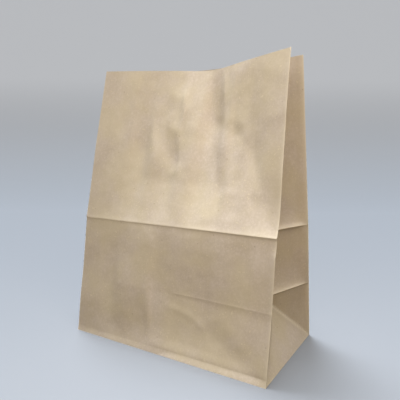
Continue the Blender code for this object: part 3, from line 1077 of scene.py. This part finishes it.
class Tree:
    """A material's node tree with one short way to add a node."""

    def __init__(self, material: bpy.types.Material) -> None:
        """Takes the material's tree."""
        material.use_nodes = True
        self.tree = material.node_tree
        self.shader = self.tree.nodes.get("Principled BSDF")

    def add(self, kind: str, settings: dict | None = None, out: int | str = 0,
            **inputs: object) -> bpy.types.NodeSocket:
        """Adds a node.

        Args:
            kind: the node's type.
            settings: its properties.
            out: the output that is wanted, by its place or name.
            inputs: its sockets by name, with spaces as underscores, each a value or a socket
                to link from. Sockets that share a name are given by their place, as in s0.

        Returns:
            The wanted output.
        """
        node = self.tree.nodes.new(kind)
        for name, value in (settings or {}).items():
            setattr(node, name, value)
        for name, value in inputs.items():
            place = name[1:] if name[0] == "s" and name[1:].isdigit() else None
            socket = node.inputs[int(place)] if place else node.inputs[name.replace("_", " ")]
            self.put(socket, value)
        return node.outputs[out]

    def put(self, socket: bpy.types.NodeSocket, value: object) -> None:
        """Links a socket to another, or sets its value."""
        if isinstance(value, bpy.types.NodeSocket):
            self.tree.links.new(value, socket)
        else:
            socket.default_value = value


@dataclass(frozen=True)
class KraftPaper:
    """Unbleached kraft paper of 90 grams a square metre.

    It gives the eye a matt warm light brown, clouded in patches of about 18 mm, with yellower
    patches of about 40 mm, fibre clumps of about 2 mm, some of them rubbed pale, fine upright
    fibres, a few darker flecks, faint upright machine lines about 1 mm apart, and paler lines
    along the folds, partly where a fold has broken the surface and partly a painted highlight on
    the fold edges. Scales are in patches a metre.
    """

    name: str = "kraft_paper"
    light: str = "#D8C9BA"
    dark: str = "#C1B09A"
    yellow: str = "#CEBE9A"
    # pale colour of worn folds, which also paints a highlight along them
    worn_and_highlight: str = "#E6D8C0"
    fleck: str = "#8A6B45"
    roughness: float = 0.78
    cloud_scale: float = 55.0
    tint_scale: float = 24.0
    clump_scale: float = 420.0
    cockle_scale: float = 160.0
    spot_scale: float = 260.0
    line_scales: tuple[float, float, float] = (900.0, 6.0, 1.0)
    fibre_scales: tuple[float, float, float] = (4200.0, 420.0, 1.0)
    fibre_turn: float = 0.12
    grain_strength: float = 0.35
    grain_height: float = 0.00012

    def build(self) -> bpy.types.Material:
        """Makes the material.

        Returns:
            The material.
        """
        material = bpy.data.materials.new(self.name)
        tree = Tree(material)
        place = tree.add("ShaderNodeTexCoord", out="Object")
        paper = tree.add("ShaderNodeUVMap", {"uv_map": "paper"})
        cloudy = {"Vector": place, "Roughness": 0.6}
        clouds = tree.add("ShaderNodeTexNoise", Scale=self.cloud_scale, Detail=4.0, **cloudy)
        tints = tree.add("ShaderNodeTexNoise", Scale=self.tint_scale, Detail=3.0, **cloudy)
        clumps = tree.add("ShaderNodeTexNoise", Scale=self.clump_scale, Detail=4.0, **cloudy)
        cockles = tree.add("ShaderNodeTexNoise", Vector=place, Scale=self.cockle_scale, Detail=2.0)
        lines = tree.add("ShaderNodeMapping", Vector=paper, Scale=self.line_scales)
        lines = tree.add("ShaderNodeTexNoise", Vector=lines, Scale=1.0, Detail=3.0)
        fibres = tree.add("ShaderNodeMapping", Vector=paper, Scale=self.fibre_scales,
                          Rotation=(0.0, 0.0, self.fibre_turn))
        fibres = tree.add("ShaderNodeTexNoise", Vector=fibres, Scale=1.0, Detail=2.0, Distortion=0.6)
        spots = tree.add("ShaderNodeTexVoronoi", out="Color", Vector=place, Scale=self.spot_scale,
                         Randomness=1.0)
        sparse = tree.add("ShaderNodeSeparateColor", s0=spots)
        sparse = tree.add(RANGE, s0=sparse, s1=0.88, s2=0.97, s3=0.0, s4=1.0)
        flecks = tree.add(RANGE, s0=spots.node.outputs["Distance"], s1=0.06, s2=0.2, s3=1.0, s4=0.0)
        flecks = tree.add(MATH, PRODUCT, s0=flecks, s1=sparse)

        # each layer darkens the paper by its share
        tone = tree.add(RANGE, s0=clouds, s1=0.3, s2=0.7, s3=0.0, s4=0.42)
        for layer, share in ((clumps, 0.62), (lines, 0.12), (fibres, 0.2)):
            darker = tree.add(RANGE, s0=layer, s1=0.3, s2=0.7, s3=0.0, s4=share)
            tone = tree.add(MATH, SUM, s0=tone, s1=darker)
        light, dark = linear_colour(self.light), linear_colour(self.dark)
        base = tree.add(MIX, COLOURS, 2, s0=tone, s6=light, s7=dark)
        tints = tree.add(RANGE, s0=tints, s1=0.4, s2=0.62, s3=0.0, s4=0.45)
        base = tree.add(MIX, COLOURS, 2, s0=tints, s6=base, s7=linear_colour(self.yellow))
        # worn folds with a painted highlight on them, broken up by the clumps, and the clumps that are
        # rubbed pale
        wear_and_highlight = tree.add("ShaderNodeAttribute", {"attribute_name": "wear_and_highlight"}, "Fac")
        broken = tree.add(RANGE, s0=clumps, s1=0.35, s2=0.6, s3=0.55, s4=1.0)
        wear_and_highlight = tree.add(MATH, PRODUCT, s0=wear_and_highlight, s1=broken)
        rubbed = tree.add(RANGE, s0=clumps, s1=0.58, s2=0.70, s3=0.0, s4=0.5)
        wear_and_highlight = tree.add(MATH, LARGER, s0=wear_and_highlight, s1=rubbed)
        # folds painted paler: partly wear, partly a painted highlight
        base = tree.add(MIX, COLOURS, 2, s0=wear_and_highlight, s6=base, s7=linear_colour(self.worn_and_highlight))
        flecks = tree.add(MATH, PRODUCT, s0=flecks, s1=0.45)
        base = tree.add(MIX, COLOURS, 2, s0=flecks, s6=base, s7=linear_colour(self.fleck))
        tree.put(tree.shader.inputs["Base Color"], base)

        rough = tree.add(RANGE, s0=clumps, s1=0.3, s2=0.7, s3=self.roughness - 0.07,
                         s4=self.roughness + 0.07)
        tree.put(tree.shader.inputs["Roughness"], rough)
        tree.put(tree.shader.inputs["Specular IOR Level"], 0.35)
        # each layer stands proud by its share of the grain's height
        grain = tree.add(MATH, PRODUCT, s0=clumps, s1=0.6)
        for layer, share in ((fibres, 0.5), (lines, 0.35), (cockles, 3.0)):
            proud = tree.add(MATH, PRODUCT, s0=layer, s1=share)
            grain = tree.add(MATH, SUM, s0=grain, s1=proud)
        bump = tree.add("ShaderNodeBump", Strength=self.grain_strength, Distance=self.grain_height,
                        Height=grain)
        tree.put(tree.shader.inputs["Normal"], bump)
        return material


FRONT_FACETS = (
    # bright slope over the waist, brightest towards the right
    Facet(((52, 110), (192, 110), (178, 150), (160, 157), (56, 157)), 0.08, 4.0),
    Facet(((18, 110), (52, 110), (52, 150), (30, 140)), 0.035, 7.0),
    Facet(((146, 110), (207, 111), (207, 118), (190, 137), (166, 154), (150, 150)), 0.05, 5.0),
    # peak that runs up from the slope, with a narrow hollow at its left
    Facet(((150, 150), (188, 150), (177, 184), (150, 209)), 0.10, 1.6),
    Facet(((196, 113), (206, 116), (190, 156), (177, 184), (165, 160)), 0.04, 3.0),
    Facet(((134, 194), (143, 153), (150, 153), (150, 196)), -0.11, 1.2),
    # bright band beside the bend, down to the slope
    Facet(((94, 285), (94, 235), (101, 212), (114, 212), (117, 224), (116, 285)), 0.14, 2.0),
    Facet(((96, 222), (122, 222), (141, 157), (104, 157)), 0.13, 2.5),
    Facet(((61, 285), (61, 212), (75, 212), (97, 240), (97, 285)), 0.09, 1.4),
    # darker patches on both sides of it
    Facet(((42, 285), (47, 195), (61, 187), (61, 285)), -0.075, 2.4),
    Facet(((118, 285), (122, 222), (140, 213), (139, 232), (128, 285)), -0.13, 1.4),
    Facet(((120, 266), (120, 232), (214, 205), (214, 246), (150, 268)), -0.065, 8.0),
    Facet(((124, 212), (142, 211), (141, 222), (122, 228)), -0.07, 2.5),
    Facet(((140, 210), (163, 201), (164, 211), (146, 219)), -0.12, 1.8),
    Facet(((129, 285), (142, 249), (147, 255), (138, 285)), -0.05, 2.0),
    # oval crumple left of the band
    Facet(((73, 232), (92, 228), (96, 240), (75, 244)), -0.10, 2.4),
    Facet(((92, 240), (98, 212), (105, 212), (104, 229)), -0.06, 2.0),
    Facet(((77, 212), (86, 180), (99, 177), (94, 207)), -0.13, 1.6),
    Facet(((63, 212), (71, 184), (78, 190), (70, 212)), 0.12, 2.0),
    Facet(((70, 184), (92, 166), (107, 172), (104, 179), (80, 190)), 0.06, 3.0),
    Facet(((54, 160), (96, 160), (98, 166), (86, 170), (70, 182), (58, 188)), -0.045, 5.0),
    # left and right margins
    Facet(((24, 196), (41, 196), (41, 212), (24, 212)), 0.05, 4.0),
    Facet(((-6, 120), (36, 120), (44, 190), (-6, 190)), -0.03, 8.0),
    Facet(((180, 244), (214, 244), (214, 285), (180, 285)), -0.03, 6.0),
    # broad shades of both halves
    Facet(((115, 118), (152, 118), (152, 285), (115, 285)), -0.06, 6.0),
    Facet(((96, 160), (114, 160), (114, 215), (96, 215)), 0.05, 3.0),
    Facet(((36, 118), (56, 118), (56, 250), (36, 250)), -0.055, 4.0),
    Facet(((60, 222), (94, 222), (94, 285), (60, 285)), -0.06, 3.0),
    Facet(((176, 152), (214, 124), (214, 215), (176, 215)), -0.09, 4.0),
    Facet(((192, 126), (214, 120), (214, 275), (192, 275)), -0.09, 3.0),
    Facet(((152, 134), (176, 134), (176, 222), (152, 222)), -0.05, 4.0),
    Facet(((60, 98), (192, 98), (192, 113), (60, 113)), 0.04, 4.0),
    Facet(((112, 116), (160, 116), (160, 150), (112, 150)), -0.02, 4.0),
    Facet(((150, 116), (214, 116), (214, 126), (150, 126)), -0.05, 2.0),
    Facet(((110, 4), (196, 4), (190, 14), (110, 14)), 0.05, 2.0),
    # under the waist: strip and flare of the foot, and the facets beside the hooked crease
    Facet(((-6, -8), (214, -8), (214, 5.2), (-6, 4.2)), 0.12, 0.8),
    Facet(((60, -8), (214, -8), (214, 5.2), (120, 4.2)), 0.20, 0.8),
    Facet(((30, 0), (196, 0), (190, 14), (40, 14)), 0.06, 4.0),
    Facet(((60, 5), (188, 5), (170, 22), (66, 24)), 0.08, 5.0),
    Facet(((90, 8), (212, 8), (212, 50), (84, 56)), 0.065, 1.5),
    Facet(((44, 8), (89, 8), (83, 56), (44, 56)), -0.065, 1.5),
    Facet(((146, 32), (158, 25), (184, 17), (186, 26), (162, 40), (150, 42)), -0.06, 4.0),
    Facet(((-6, 60), (30, 70), (60, 114), (-6, 114)), -0.04, 8.0),
    Facet(((-6, 6), (24, 6), (30, 34), (-6, 34)), -0.05, 5.0),
)

FRONT_CREASES = (
    Crease(((80, 212), (87, 198), (97, 178)), -0.25, 4.5),
    Crease(((112, 56.5), (206, 56.5)), 0.16, 1.0, Crest.SHARP),
    Crease(((85, 54), (90, 42), (90, 28), (87, 10)), -0.2, 2.4),
    Crease(((107, 44), (130, 40), (142, 33)), 0.25, 2.6),
    Crease(((145, 112), (146, 45)), -0.15, 3.0),
    Crease(((150, 208), (176, 184), (190, 156), (205, 120)), 0.1, 2.5),
    Crease(((207, 6), (207, 100)), 1.1, 4.6),
    Crease(((209, 128), (209, 142)), -1.3, 14.0),
    Crease(((30, 5.2), (214, 5.2)), -0.05, 0.8, Crest.SHARP),
)

FRONT_ROLLS = (Roll((116.2, 115.9), (0.35, 0.95), (0.8, 1.9), 3.0, 13.0, 110.0),)

BACK_FACETS = (
    Facet(((30, 112), (190, 112), (150, 160), (60, 150)), -0.06, 10.0),
    Facet(((95, 280), (104, 190), (128, 190), (140, 280)), 0.05, 8.0),
    Facet(((150, 280), (165, 200), (190, 210), (196, 280)), -0.04, 8.0),
)

BACK_CREASES = (
    Crease(((0, 57), (206, 57)), 0.3, 2.2, Crest.SHARP),
    Crease(((60, 240), (72, 205), (66, 180)), -0.6, 6.0),
    Crease(((130, 100), (150, 76), (155, 62)), -0.5, 6.0),
    Crease(((30, 44), (48, 30), (52, 12)), -0.4, 5.0),
    Crease(((118, 225), (150, 205)), 0.5, 5.0),
)


class PaperBag:
    """The bag's one piece: the folded sheet with its relief, dressed in kraft paper."""

    def __init__(self) -> None:
        """Sets the sizes and the relief."""
        self.bag = Bag()
        front = Relief(self.bag, FRONT_FACETS, FRONT_CREASES, FRONT_ROLLS,
                       (Swell(0.24, 55.0, 5), Swell(0.055, 14.0, 23, 24)))
        back = Relief(self.bag, BACK_FACETS, BACK_CREASES, (),
                      (Swell(0.5, 70.0, 11), Swell(0.055, 14.0, 29, 24)))
        self.sheet = FoldedSheet(self.bag, front, back)

    def build(self) -> bpy.types.Object:
        """Builds the piece and ties it to the frame.

        Returns:
            The piece.
        """
        piece = SheetMesh(self.sheet).build("folded_sheet")
        piece.data.materials.append(KraftPaper().build())
        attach(piece, "root")
        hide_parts("paper_bag")
        LOG.info("%s: %d points, %d faces", piece.name, len(piece.data.vertices), len(piece.data.polygons))
        return piece


BAG_MIDDLE = Vector((0.0, 0.0, 0.13))


@dataclass(frozen=True)
class SoftLight:
    """A broad light: its bearing and height in degrees, strength, width in degrees and colour.

    The bearing is the direction that the light comes from, 0 from behind the bag (+Y) and 90
    from its right (+X). At strength 1 a white sheet that faces the light looks white. A light
    with a distance away, in metres, is a round panel, and fades across the bag.
    """

    name: str
    bearing: float
    height: float
    strength: float
    width: float
    colour: str
    away: float = 0.0

    def build(self) -> bpy.types.Object:
        """Adds the light to the scene: a distant one, or a round panel where it stands near.

        Returns:
            The light.
        """
        lamp = bpy.data.lights.new(self.name, "AREA" if self.away else "SUN")
        lamp.color = linear_colour(self.colour)[:3]
        light = bpy.data.objects.new(self.name, lamp)
        bearing, height = np.radians(self.bearing), np.radians(self.height)
        way = Vector((np.sin(bearing) * np.cos(height), np.cos(bearing) * np.cos(height), np.sin(height)))
        if self.away:
            lamp.shape = "DISK"
            lamp.size = 2 * self.away * np.tan(np.radians(self.width) / 2)
            lamp.energy = self.strength * (np.pi * self.away)**2
            light.location = BAG_MIDDLE + way * self.away
            light.visible_camera = False
        else:
            lamp.energy = self.strength * np.pi
            lamp.angle = np.radians(self.width)
        light.rotation_euler = way.to_track_quat("Z", "Y").to_euler()
        bpy.context.scene.collection.objects.link(light)
        return light


STUDIO_LIGHTS = (
    SoftLight("overhead", 0.0, 90.0, 0.89, 30.0, "#F2F9FF"),
    SoftLight("high_left", 300.0, 68.0, 1.34, 26.0, "#ECF5FF"),
    SoftLight("front_right", 125.0, 38.0, 0.42, 40.0, "#FDF2E4", 0.55),
    SoftLight("front", 165.0, 32.0, 0.35, 40.0, "#FCFAF6", 0.60),
)


@dataclass(frozen=True)
class Studio:
    """Plain pale sweep, soft lights from above and from the front, weak light all round, and the camera.

    Lengths are in metres. The camera's turn, dip and roll are in degrees and its lens is in
    millimetres, from fitting it to points of the photograph.
    """

    floor_reach: float = 1.6
    half_width: float = 3.0
    back_start: float = 0.9
    back_radius: float = 0.5
    wall_height: float = 2.2
    ambient: float = 0.06
    camera_place: tuple[float, float, float] = (0.21444, -0.34016, 0.17860)
    camera_turn: float = -31.232
    camera_dip: float = 6.191
    camera_roll: float = 0.385
    camera_lens: float = 37.1

    def sweep(self) -> bpy.types.Object:
        """Floor that curves up into a wall behind the bag, seen along the camera's direction.

        Returns:
            The sweep.
        """
        turn = np.radians(self.camera_turn)
        arc = np.linspace(0, np.pi / 2, 25)
        run = np.concatenate([[-self.floor_reach], self.back_start + self.back_radius * np.sin(arc),
                              [self.back_start + self.back_radius]])
        rise = np.concatenate([[0], self.back_radius * (1 - np.cos(arc)), [self.wall_height]])
        side = np.array([-self.half_width, self.half_width])
        across, depth = np.meshgrid(side, run)
        height = np.repeat(rise[:, None], 2, axis=1)
        x = across * np.cos(turn) + depth * np.sin(turn)
        y = -across * np.sin(turn) + depth * np.cos(turn)
        points = np.stack([x, y, height], axis=-1).reshape(-1, 3)
        row = np.arange(len(run) - 1)[:, None] * 2
        faces = row + np.array([0, 1, 3, 2])
        mesh = bpy.data.meshes.new("studio_sweep")
        mesh.from_pydata(points.tolist(), [], faces.tolist())
        mesh.shade_smooth()
        mesh.materials.append(self.sweep_finish())
        sweep = bpy.data.objects.new("studio_sweep", mesh)
        bpy.context.scene.collection.objects.link(sweep)
        sweep.visible_shadow = False
        return sweep

    def sweep_finish(self) -> bpy.types.Material:
        """Matt pale grey paper roll, with a little light of its own towards the camera at the wall.

        Returns:
            The material.
        """
        material = bpy.data.materials.new("pale_sweep")
        tree = Tree(material)
        seen = tree.add("ShaderNodeLightPath", out="Is Camera Ray")
        tone = tree.add(MIX, COLOURS, 2, s0=seen, s6=linear_colour("#6A6052"), s7=linear_colour("#87898D"))
        tree.put(tree.shader.inputs["Base Color"], tone)
        tree.put(tree.shader.inputs["Roughness"], 0.9)
        tree.put(tree.shader.inputs["Specular IOR Level"], 0.1)
        facing = tree.add("ShaderNodeNewGeometry", out="Normal")
        upwards = tree.add("ShaderNodeSeparateXYZ", out=2, s0=facing)
        glow = tree.add(RANGE, s0=upwards, s1=0.0, s2=1.0, s3=0.55, s4=0.0)
        glow = tree.add(MATH, PRODUCT, s0=glow, s1=seen)
        tree.put(tree.shader.inputs["Emission Color"], linear_colour("#E6E9EE"))
        tree.put(tree.shader.inputs["Emission Strength"], glow)
        return material

    def lights(self) -> None:
        """Adds the soft lights and the weak even light."""
        for light in STUDIO_LIGHTS:
            light.build()
        world = bpy.data.worlds.new("studio")
        world.use_nodes = True
        background = world.node_tree.nodes["Background"]
        background.inputs["Color"].default_value = linear_colour("#F2EEE8")
        background.inputs["Strength"].default_value = self.ambient
        bpy.context.scene.world = world

    def camera(self) -> bpy.types.Object:
        """Camera at the photograph's place, turned about Z, dipped and rolled.

        Returns:
            The camera.
        """
        data = bpy.data.cameras.new("camera")
        data.lens = self.camera_lens
        data.sensor_width = 36.0
        data.clip_start = 0.02
        camera = bpy.data.objects.new("camera", data)
        turn, dip, roll = (np.radians(a) for a in (self.camera_turn, self.camera_dip, self.camera_roll))
        pose = Matrix.Rotation(-turn, 4, "Z") @ Matrix.Rotation(np.pi / 2 - dip, 4, "X")
        pose = pose @ Matrix.Rotation(roll, 4, "Z")
        camera.matrix_world = Matrix.Translation(Vector(self.camera_place)) @ pose
        bpy.context.scene.collection.objects.link(camera)
        bpy.context.scene.camera = camera
        return camera


def main() -> None:
    """Builds the studio and the bag."""
    logging.basicConfig(level=logging.INFO, format="%(name)s: %(message)s")
    bpy.context.scene.view_settings.view_transform = "Standard"
    studio = Studio()
    studio.camera()
    studio.lights()
    studio.sweep()
    PaperBag().build()


if __name__ == "__main__":
    main()
